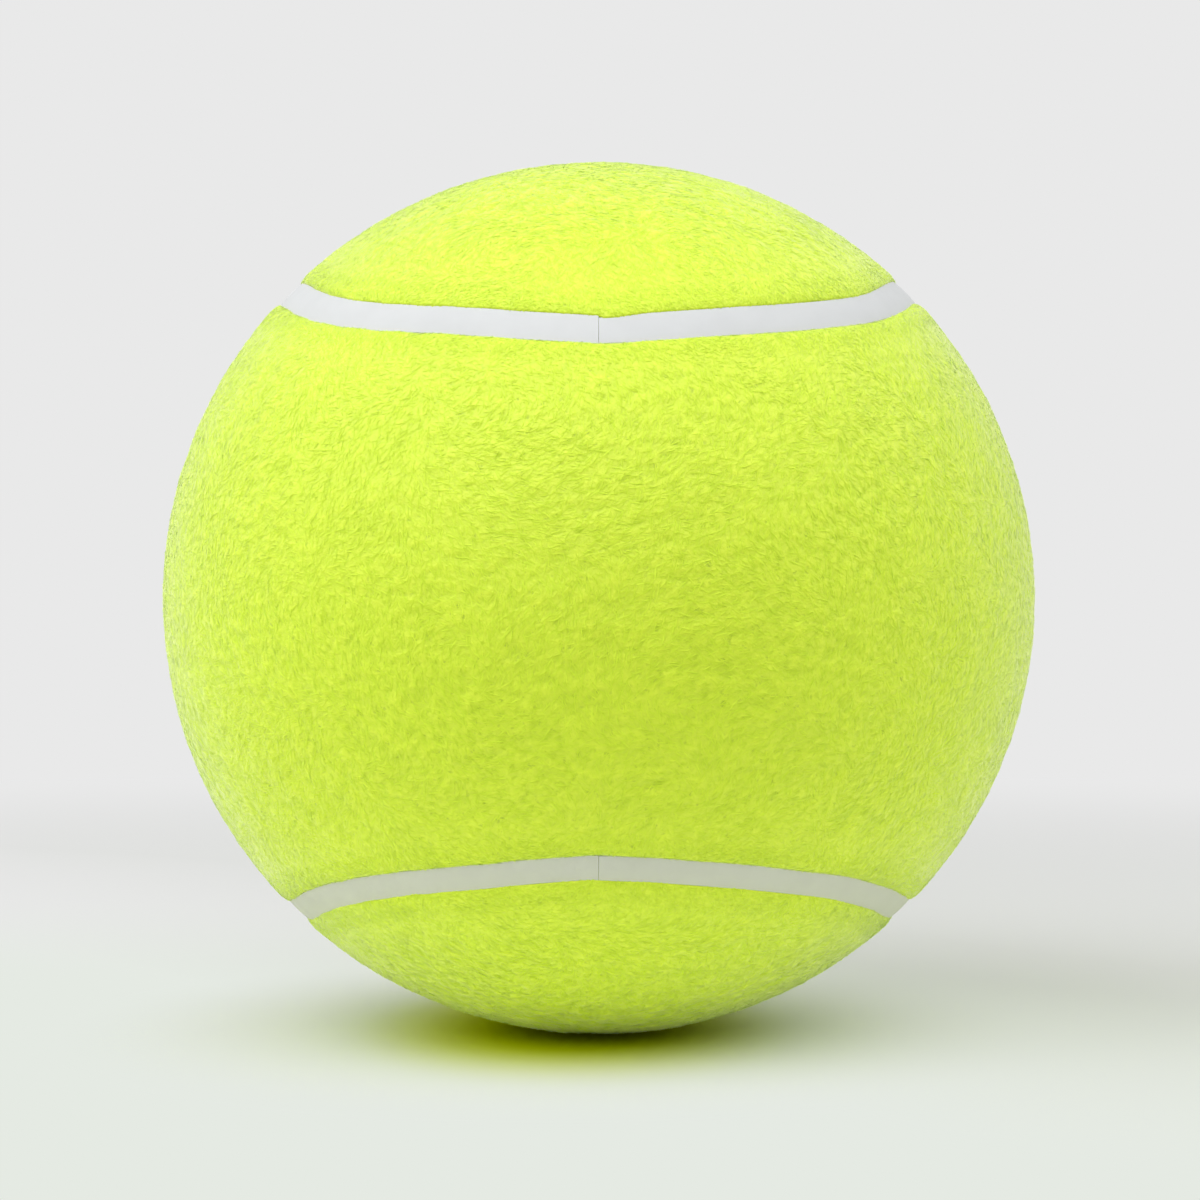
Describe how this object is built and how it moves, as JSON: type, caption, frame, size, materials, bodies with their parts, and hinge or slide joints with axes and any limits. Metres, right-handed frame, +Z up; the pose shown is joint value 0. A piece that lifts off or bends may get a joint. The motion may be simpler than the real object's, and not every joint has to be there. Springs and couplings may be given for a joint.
{
  "type": "tennis ball",
  "caption": "Hollow pressurised ball for tennis: a rubber core in halves under dumbbell-shaped felt panels, with one closed curved seam filled by a pale strip.",
  "frame": {"origin": "centre of the ball", "axes": "+Z up; -Y out of the middle of the front panel's waist; +X to the right, along the front panel from lobe to lobe"},
  "size_m": [0.067, 0.067, 0.067],
  "materials": {
    "felt_pile": "brushed wool and nylon pile, bright yellow-green",
    "seam_strip": "smooth matt, off-white",
    "core_rubber": "moulded, matt, near black",
    "bond_cement": "cured rubber cement, dark brown",
    "panel_cement": "cured latex cement, tan"
  },
  "bodies": {
    "root": {"core_half_upper": "core_rubber", "core_half_lower": "core_rubber", "core_bond_ring": "bond_cement", "panel_adhesive_front": "panel_cement", "panel_adhesive_back": "panel_cement", "felt_panel_front": "felt_pile", "felt_panel_back": "felt_pile", "seam_strip_left": "seam_strip", "seam_strip_right": "seam_strip"}
  },
  "joints": []
}
